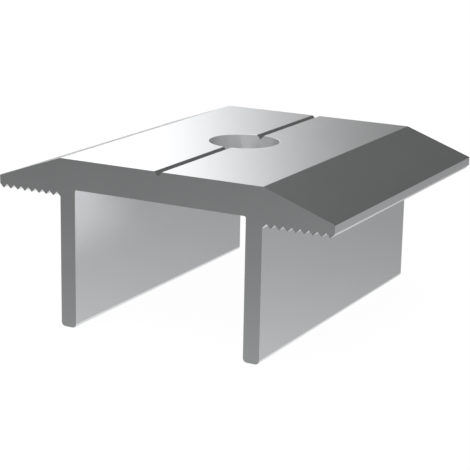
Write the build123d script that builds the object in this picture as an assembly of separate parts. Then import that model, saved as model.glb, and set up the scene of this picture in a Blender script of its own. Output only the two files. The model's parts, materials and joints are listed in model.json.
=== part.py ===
"""Solar mid clamp: one sawn length of extruded aluminium with a drilled bolt hole.

The section is a flat plate on two legs. A bevelled wing reaches out past each leg, and its
underside is serrated to grip the frame of a solar module. A V groove marks the middle of the
top face for the bolt, which passes down between the legs into the mounting rail.

Frame, in millimetres: X runs across the wings, Y along the extrusion and Z up. The origin lies
on the bolt axis, at the level of the feet.
"""

import math
import os

from build123d import *

# The cut length and the overall section
CLAMP_LENGTH = 40.0  # along the extrusion, from saw cut to saw cut
CLAMP_HEIGHT = 20.0  # from the feet of the legs to the top face
CLAMP_WIDTH = 43.0  # from wing edge to wing edge
LEG_SPAN = 26.0  # over both legs: the gap that the clamp keeps between two modules

# Walls of the section
PLATE_THICKNESS = 3.5
LEG_THICKNESS = 2.0
WING_DROP = 3.0  # how far the bevel falls from its ridge to the wing edge
WING_EDGE_HEIGHT = 1.0  # the upright face of a wing edge

# Serrations under the wings: V shaped teeth that run the whole length
TOOTH_PITCH = 1.0
TOOTH_ANGLE = 90.0  # included angle at the crest, in degrees

# The V groove along the middle of the top face
GROOVE_WIDTH = 1.0
GROOVE_ANGLE = 90.0  # included angle at the bottom, in degrees

# The clearance hole for the M8 clamp bolt
BOLT_HOLE_DIAMETER = 8.5
HOLE_EDGE_BREAK = 0.03  # only the burr is taken off both rims, at 45 degrees

# Corner radii of the extrusion die
FOOT_RADIUS = 0.5
RIDGE_RADIUS = 0.3
WING_EDGE_RADIUS = 0.1
INSIDE_RADIUS = 0.2
TOOTH_RADIUS = 0.04

# How far a cutting tool runs past the metal that it cuts
TOOL_OVERRUN = 1.0

# Places in the section, worked out from the sizes above
leg_face = LEG_SPAN / 2
leg_inner_face = leg_face - LEG_THICKNESS
wing_edge = CLAMP_WIDTH / 2
top_face = CLAMP_HEIGHT
plate_underside = top_face - PLATE_THICKNESS
wing_edge_top = top_face - WING_DROP
tooth_root = wing_edge_top - WING_EDGE_HEIGHT
tooth_crest = tooth_root - TOOTH_PITCH / 2 / math.tan(math.radians(TOOTH_ANGLE / 2))
groove_bottom = top_face - GROOVE_WIDTH / 2 / math.tan(math.radians(GROOVE_ANGLE / 2))


def tooth_line():
    """Points of the serrated underside of the right wing, from the wing edge in to the leg.

    The teeth are counted from the leg, which they meet at half a tooth. What is left over at
    the wing edge stays flat, at root level.
    """
    half_pitch = TOOTH_PITCH / 2
    wing_reach = wing_edge - leg_face
    teeth = int((wing_reach - half_pitch) / TOOTH_PITCH + 1e-6)
    points = []
    for tooth in range(teeth, 0, -1):
        crest = leg_face + tooth * TOOTH_PITCH
        points.append((crest + half_pitch, tooth_root))
        points.append((crest, tooth_crest))
    points.append((leg_face + half_pitch, tooth_root))
    points.append((leg_face, tooth_crest))
    if wing_edge - points[0][0] > 1e-6:
        points.insert(0, (wing_edge, tooth_root))
    return points


def section():
    """The extruded section, drawn in the XZ plane with its corners rounded."""
    ridge = (leg_face, top_face)
    wing_edge_upper = (wing_edge, wing_edge_top)
    teeth = tooth_line()
    feet = [(leg_face, 0), (leg_inner_face, 0)]
    inside_corner = (leg_inner_face, plate_underside)
    right_half = [
        (GROOVE_WIDTH / 2, top_face),
        ridge,
        wing_edge_upper,
        *teeth,
        *feet,
        inside_corner,
    ]
    left_half = [(-x, z) for x, z in reversed(right_half)]
    outline = Polyline((0, groove_bottom), *right_half, *left_half, close=True)
    profile = make_face(outline)

    roundings = [
        (FOOT_RADIUS, feet),
        (RIDGE_RADIUS, [ridge]),
        (WING_EDGE_RADIUS, [wing_edge_upper, teeth[0]]),
        (TOOTH_RADIUS, teeth[1:-1]),
        (INSIDE_RADIUS, [teeth[-1], inside_corner]),
    ]
    for radius, corners in roundings:
        profile = fillet(both_sides(profile, corners), radius)
    return profile


def both_sides(profile, corners):
    """The profile's vertices at these corners and at their mirror images."""
    return [
        vertex
        for vertex in profile.vertices()
        if any(math.dist((abs(vertex.X), vertex.Y), corner) < 1e-6 for corner in corners)
    ]


def bolt_hole_drill():
    """The drill that makes the bolt hole and breaks both of its rims."""
    radius = BOLT_HOLE_DIAMETER / 2
    flare = HOLE_EDGE_BREAK + TOOL_OVERRUN
    half_section = Polyline(
        (0, top_face + TOOL_OVERRUN),
        (radius + flare, top_face + TOOL_OVERRUN),
        (radius, top_face - HOLE_EDGE_BREAK),
        (radius, plate_underside + HOLE_EDGE_BREAK),
        (radius + flare, plate_underside - TOOL_OVERRUN),
        (0, plate_underside - TOOL_OVERRUN),
        close=True,
    )
    return revolve(Plane.XZ * make_face(half_section), Axis.Z)


def clamp_body():
    """The section run out to its length and drilled."""
    sawn_end = Plane.XZ.offset(-CLAMP_LENGTH / 2)
    bar = extrude(sawn_end * section(), CLAMP_LENGTH)
    return bar - bolt_hole_drill()


os.makedirs("parts", exist_ok=True)
export_step(clamp_body(), "parts/clamp_body.step")
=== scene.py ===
"""The solar mid clamp's looks: one drilled length of extruded aluminium, dressed as it is made.

Metres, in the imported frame: X across the wings, Y along the extrusion, Z up from the feet. The
front is towards -Y.
"""

import json
import math

import bpy
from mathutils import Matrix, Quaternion, Vector


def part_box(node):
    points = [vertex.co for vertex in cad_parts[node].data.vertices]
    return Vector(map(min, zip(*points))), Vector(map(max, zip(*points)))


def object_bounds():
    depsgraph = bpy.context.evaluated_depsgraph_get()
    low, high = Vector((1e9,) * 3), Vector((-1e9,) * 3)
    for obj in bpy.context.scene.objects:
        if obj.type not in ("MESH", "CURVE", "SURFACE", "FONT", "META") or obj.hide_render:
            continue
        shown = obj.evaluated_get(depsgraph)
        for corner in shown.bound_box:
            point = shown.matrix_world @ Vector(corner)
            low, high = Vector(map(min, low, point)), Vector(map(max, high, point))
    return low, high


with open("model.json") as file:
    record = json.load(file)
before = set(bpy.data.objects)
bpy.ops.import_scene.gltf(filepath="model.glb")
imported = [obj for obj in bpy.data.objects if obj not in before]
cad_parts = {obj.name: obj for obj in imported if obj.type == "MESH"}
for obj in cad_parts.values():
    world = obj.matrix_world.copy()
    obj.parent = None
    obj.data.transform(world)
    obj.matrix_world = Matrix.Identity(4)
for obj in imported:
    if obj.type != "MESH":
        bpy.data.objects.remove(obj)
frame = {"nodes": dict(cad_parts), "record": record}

cad_low, cad_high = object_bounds()
bpy.ops.object.select_all(action="DESELECT")

# ---- Clamp body ----
# Such a clamp is 6000-series aluminium, squeezed through a die into a long bar and clear
# anodised to a satin skin. It is then sawn to length, drilled for its bolt and deburred.
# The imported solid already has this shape, so it stays and gets its metal here.

mm = 0.001
end_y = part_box("clamp_body")[1].y
mounts = {mount["name"]: mount for mount in frame["record"]["mounts"]}
hole_radius = mounts["bolt_hole"]["dims"]["r_mm"] * mm

satin_skin = (0.80, 0.81, 0.82, 1.0)        # the sawn ends have the same grey
# Painted light: the bore's wall is bare drilled aluminium, made paler still than that metal so that it
# stands in for the light that reaches into the hole.
drilled_metal_and_painted_light = (0.96, 0.965, 0.97, 1.0)
skin_roughness = 0.287
sawn_roughness = 0.05        # this and the next are added to the skin's
drilled_roughness = 0.04

end_reach = (0.03 * mm, 0.01 * mm)      # how near to an end the saw's mark begins and is full
bore_reach = (0.10 * mm, 0.14 * mm)     # how far outside the bore the drill's mark fades

# Where the marks lie
die_lines_per_metre = 1000.0
bands_per_metre = 260.0
clouds_per_metre = 130.0
wander_per_metre = 420.0
up_share = 1.3               # a step up counts this much beside a step across, for die lines
blade_axle = Vector((-90.0, 0.0, -160.0)) * mm
arc_rate = 15000.0           # radians per metre, so about 0.42 mm from one saw arc to the next
arc_wander = 4.0
ring_rate = 24000.0          # radians per metre, so about 0.26 mm from ring to ring
ring_wander = 3.0

# How much each mark changes the tone, the roughness and the relief
skin_tone = 0.99
cloud_tone = 0.02
band_tone = 0.015
arc_tone = 0.006
patch_roughness = 0.014
arc_relief = 0.2
ring_relief = 0.25
relief_height = 0.00012 * mm


class Signal:
    """A socket of a shader tree. Arithmetic on it adds the Math nodes that do the sum."""

    def __init__(self, tree, socket=None):
        self.tree = tree
        self.socket = socket

    def node(self, kind, settings=None, inputs=None, output=0):
        """Add a node, set it up, feed its inputs with values or signals, and return an output."""
        added = self.tree.nodes.new(kind)
        for name, value in (settings or {}).items():
            setattr(added, name, value)
        for name, value in (inputs or {}).items():
            if isinstance(value, Signal):
                self.tree.links.new(value.socket, added.inputs[name])
            else:
                added.inputs[name].default_value = value
        return Signal(self.tree, added.outputs[output]) if added.outputs else None

    def maths(self, operation, *values):
        return self.node("ShaderNodeMath", {"operation": operation}, dict(enumerate(values)))

    def __add__(self, other):
        return self.maths("ADD", self, other)

    def __sub__(self, other):
        return self.maths("SUBTRACT", self, other)

    def __mul__(self, other):
        return self.maths("MULTIPLY", self, other)

    def __pow__(self, other):
        return self.maths("POWER", self, other)

    def __rsub__(self, other):
        return self.maths("SUBTRACT", other, self)

    def __rpow__(self, other):
        return self.maths("POWER", other, self)

    __radd__ = __add__

    def __abs__(self):
        return self.maths("ABSOLUTE", self)

    def sine(self):
        return self.maths("SINE", self)

    def capped(self, limit):
        return self.maths("MINIMUM", self, limit)

    def rise(self, low, high):
        """0 below low, 1 above high, and a smooth step between them."""
        inputs = {"Value": self, "From Min": low, "From Max": high}
        return self.node("ShaderNodeMapRange", {"interpolation_type": "SMOOTHSTEP"}, inputs)

    def between(self, start, end):
        """1 between two soft edges, each given as a pair of low and high."""
        return self.rise(*start) * (1 - self.rise(*end))


def extruded_aluminium():
    """Satin metal with die lines on its faces, saw arcs on its ends and rings in its hole."""
    material = bpy.data.materials.new("aluminium_extrusion")
    material.use_nodes = True
    tree = material.node_tree
    metal = tree.nodes["Principled BSDF"]
    metal.inputs["Metallic"].default_value = 1.0
    place = Signal(tree).node("ShaderNodeTexCoord", output="Object")
    across = place.node("ShaderNodeSeparateXYZ", inputs={0: place}, output="X")
    along = place.node("ShaderNodeSeparateXYZ", inputs={0: place}, output="Y")
    up = place.node("ShaderNodeSeparateXYZ", inputs={0: place}, output="Z")

    # Where each tool has worked: the saw on the two ends, the drill on the wall of the hole
    sawn = abs(along).rise(end_y - end_reach[0], end_y - end_reach[1])
    from_axis = (across * across + along * along) ** 0.5
    drilled = 1 - from_axis.rise(hole_radius + bore_reach[0], hole_radius + bore_reach[1])
    extruded = (1 - sawn) * (1 - drilled)

    # Die lines: straight, even drag marks that run the whole length
    around = across + up * up_share
    straight = {"noise_dimensions": "1D"}
    line_feed = {"W": around, "Scale": die_lines_per_metre, "Detail": 1.0}
    die_lines = around.node("ShaderNodeTexNoise", straight, line_feed)
    band_feed = {"W": around, "Scale": bands_per_metre, "Detail": 1.0}
    bands = around.node("ShaderNodeTexNoise", straight, band_feed)

    # Saw arcs: the shallow curved marks of a wide blade, and drill rings down the wall
    from_axle_x = across - blade_axle.x
    from_axle_z = up - blade_axle.z
    from_axle = (from_axle_x * from_axle_x + from_axle_z * from_axle_z) ** 0.5
    wander_feed = {"Vector": place, "Scale": wander_per_metre}
    wander = place.node("ShaderNodeTexNoise", inputs=wander_feed)
    arcs = (from_axle * arc_rate + wander * arc_wander).sine()
    rings = (up * ring_rate + wander * ring_wander).sine()

    # Handling: soft patches a few millimetres across
    cloud_feed = {"Vector": place, "Scale": clouds_per_metre, "Detail": 2.0}
    cloud = place.node("ShaderNodeTexNoise", inputs=cloud_feed) - 0.5
    band = (bands - 0.5) * extruded

    tone = skin_tone + cloud * cloud_tone + band * band_tone + arcs * sawn * arc_tone
    blend = {"data_type": "RGBA", "blend_type": "MIX"}
    shade = {"data_type": "RGBA", "blend_type": "MULTIPLY"}
    # The drill's mask puts the bore's paler colour, part bare metal and part painted light, into the
    # base colour.
    skin_and_painted_bore_light = tone.node("ShaderNodeMix", blend, {0: drilled, 6: satin_skin, 7: drilled_metal_and_painted_light}, output=2)
    toned = tone.node("ShaderNodeMix", shade, {0: 1.0, 6: skin_and_painted_bore_light, 7: tone}, output=2)
    tree.links.new(toned.socket, metal.inputs["Base Color"])

    rough = skin_roughness + band * patch_roughness + cloud * patch_roughness
    rough = rough + sawn * sawn_roughness + drilled * drilled_roughness
    tree.links.new(rough.socket, metal.inputs["Roughness"])

    relief = die_lines * extruded + arcs * sawn * arc_relief + rings * drilled * ring_relief
    bump_feed = {"Height": relief, "Distance": relief_height, "Strength": 1.0}
    bump = relief.node("ShaderNodeBump", inputs=bump_feed, output="Normal")
    tree.links.new(bump.socket, metal.inputs["Normal"])
    return material


clamp = frame["nodes"]["clamp_body"]
clamp.data.materials.clear()
clamp.data.materials.append(extruded_aluminium())

# ---- Camera ----
# A long lens looks at the clamp from its front right, a little above its top face. It leans by
# about a degree, and aims just left of the clamp's middle and below it.

camera_turn = math.radians(28.28)
camera_rise = math.radians(15.1)
camera_lean = math.radians(1.12)
camera_reach = 188.3 * mm
aim = (cad_low + cad_high) / 2 + Vector((-1.03, 0.0, -1.88)) * mm
level = math.cos(camera_rise)
back = Vector((math.sin(camera_turn) * level, -math.cos(camera_turn) * level, math.sin(camera_rise)))

camera_data = bpy.data.cameras.new("camera")
camera_data.sensor_width = 36.0
camera_data.lens = 117.3
camera_data.clip_start = 1.0 * mm
camera = bpy.data.objects.new("camera", camera_data)
camera.location = aim + back * camera_reach
camera.rotation_mode = "QUATERNION"
camera.rotation_quaternion = back.to_track_quat("Z", "Y") @ Quaternion((0, 0, 1), camera_lean)
bpy.context.scene.collection.objects.link(camera)
bpy.context.scene.camera = camera

# ---- Floor ----
# A matt white board under the feet, big enough to reach past the camera's view. It is not part
# of the clamp. It keeps a faint shadow, and leaves the metal to mirror the tent.

board_size = 1.9
board_gap = 0.02 * mm
board_white = (0.9, 0.9, 0.9, 1.0)
board_glow = 1.06
board_share = 0.9            # how much of the board, as the camera sees it, is its even glow

bpy.ops.mesh.primitive_plane_add(size=board_size, location=(0.0, 0.0, cad_low.z - board_gap))
floor = bpy.context.object
floor.name = "floor"
floor.visible_glossy = False


def board_paint():
    """Matt white that lights the clamp as paint does, and looks evenly white to the camera."""
    material = bpy.data.materials.new("board_paint")
    material.use_nodes = True
    material.node_tree.nodes.clear()
    paint = Signal(material.node_tree)
    seen = paint.node("ShaderNodeLightPath", output="Is Camera Ray")
    matt = paint.node("ShaderNodeBsdfDiffuse", inputs={"Color": board_white})
    even = paint.node("ShaderNodeEmission", inputs={"Strength": board_glow})
    coat = paint.node("ShaderNodeMixShader", inputs={0: seen * board_share, 1: matt, 2: even})
    paint.node("ShaderNodeOutputMaterial", inputs={"Surface": coat})
    return material


floor.data.materials.append(board_paint())

# ---- Light tent ----
# A round tent of grey cloth stands about the clamp, as for any bright metal. A lamp outside it
# shines through at the back left, weaker ones light its front, roof and right side, and the
# white table lights it from below.

tent_radius = 2.0

# Levels, where 1 is white
bare_cloth = 0.102
table_level = 0.84
table_loss = 0.4             # the share of it that is lost further down
table_pool_gain = 0.6        # the share that is added straight under the clamp
right_loss = 0.35            # the share of it that is lost at the right
side_level = 0.311
side_slope_gain = 0.22       # added from the back right on
right_gain = 0.06            # added at the right
walls_limit = 0.95           # the cap on bare cloth, table and side lamp together
roof_level = 0.65
front_level = 0.6
upper_level = 0.7
upper_gain = 0.6             # added where the window's upper part is bright
lower_level = 0.55
lower_gain = 1.9             # added where its lower part is bright

# Turns in degrees from straight behind the clamp, above 0 to the right. Each pair is a soft edge.
right_part = ((50.0, 90.0), (140.0, 175.0))
side_part = ((-8.0, 22.0), (158.0, 186.0))
side_slope = (26.0, 54.0)
unlit_back = ((-125.0, -100.0), (55.0, 90.0))
window_left = (-128.0, -108.0)
upper_bright = (-60.0, -42.0)
lower_bright = (-43.0, -34.0)

# Heights above the clamp's level, as the sine of the angle, and then depths below it
side_top = (-0.42, 0.35)
roof_edge = (0.65, 0.95)
front_foot = (0.08, 0.4)
upper_part = ((-0.02, 0.13), (0.6, 0.82))
lower_part = ((0.13, 0.22), (0.35, 0.55))
table_top = (0.225, 0.59)
table_dim = (0.52, 0.7)
table_pool = (0.86, 0.97)

# The window's right edges: the turn of each, how far it leans by height, and how soft it is
upper_edge = -33.2
upper_lean = 12.0
upper_softness = 3.4
lower_edge = -26.5
lower_softness = 3.7

bpy.ops.mesh.primitive_uv_sphere_add(segments=64, ring_count=32, radius=tent_radius)
tent = bpy.context.object
tent.name = "light_tent"
tent.visible_camera = False


def fading_right(turn, edge, softness):
    """1 up to the window's right edge, and dying away beyond it."""
    return (math.e ** ((edge - turn) * (1 / softness))).capped(1.0)


def tent_cloth():
    """Cloth that glows by direction, from dark grey to the white of the window."""
    material = bpy.data.materials.new("tent_cloth")
    material.use_nodes = True
    material.node_tree.nodes.clear()
    cloth = Signal(material.node_tree)
    spot = cloth.node("ShaderNodeTexCoord", output="Object")
    unit = {"operation": "NORMALIZE"}
    outward = cloth.node("ShaderNodeVectorMath", unit, {0: spot}, output="Vector")
    outward_x = cloth.node("ShaderNodeSeparateXYZ", inputs={0: outward}, output="X")
    outward_y = cloth.node("ShaderNodeSeparateXYZ", inputs={0: outward}, output="Y")
    height = cloth.node("ShaderNodeSeparateXYZ", inputs={0: outward}, output="Z")
    depth = 0 - height
    turn = cloth.maths("ARCTAN2", outward_x, outward_y) * math.degrees(1.0)

    # The table: pale well below the clamp, dimmer further down, with a pool straight underneath
    right = turn.between(*right_part)
    table = depth.rise(*table_top) * table_level * (1 - right * right_loss)
    table = table * (1 - depth.rise(*table_dim) * table_loss + depth.rise(*table_pool) * table_pool_gain)

    # The side lamp: low at the right, and a little brighter towards the front
    side = turn.between(*side_part) * (1 - height.rise(*side_top))
    side = side * (side_level + turn.rise(*side_slope) * side_slope_gain + right * right_gain)
    walls = (bare_cloth + table + side).capped(walls_limit)

    # The roof and front lamps
    roof = height.rise(*roof_edge) * roof_level
    front = (1 - turn.between(*unlit_back)) * height.rise(*front_foot) * front_level

    # The window: the main lamp at the back left, in two parts with a dark bar between them
    upper = fading_right(turn, height * upper_lean + upper_edge, upper_softness)
    upper = upper * height.between(*upper_part)
    upper = upper * (upper_level + turn.rise(*upper_bright) * upper_gain)
    lower = fading_right(turn, lower_edge, lower_softness)
    lower = lower * depth.between(*lower_part)
    lower = lower * (lower_level + turn.rise(*lower_bright) * lower_gain)
    window = (upper + lower) * turn.rise(*window_left)

    light = walls + roof + front + window
    glow = cloth.node("ShaderNodeEmission", inputs={"Color": light, "Strength": 1.0})
    cloth.node("ShaderNodeOutputMaterial", inputs={"Surface": glow})
    return material


tent.data.materials.append(tent_cloth())

# ---- Background ----
# Plain white all round, as the camera, mirrors and glass see it, and half as bright as a light.
# It shows past the board's edges, and the tent stands between it and the clamp.

white = (1.0, 1.0, 1.0, 1.0)
background_light = 0.5

world = bpy.data.worlds.new("background")
world.use_nodes = True
world.node_tree.nodes.clear()
sky = Signal(world.node_tree)
camera_ray = sky.node("ShaderNodeLightPath", output="Is Camera Ray")
glossy_ray = sky.node("ShaderNodeLightPath", output="Is Glossy Ray")
through_ray = sky.node("ShaderNodeLightPath", output="Is Transmission Ray")
shown = camera_ray + glossy_ray + through_ray
dim_sky = sky.node("ShaderNodeBackground", inputs={"Strength": background_light})
white_sky = sky.node("ShaderNodeBackground", inputs={"Color": white, "Strength": 1.0})
both = sky.node("ShaderNodeMixShader", inputs={0: shown, 1: dim_sky, 2: white_sky})
sky.node("ShaderNodeOutputWorld", inputs={"Surface": both})
bpy.context.scene.world = world
bpy.context.scene.view_settings.view_transform = "Standard"
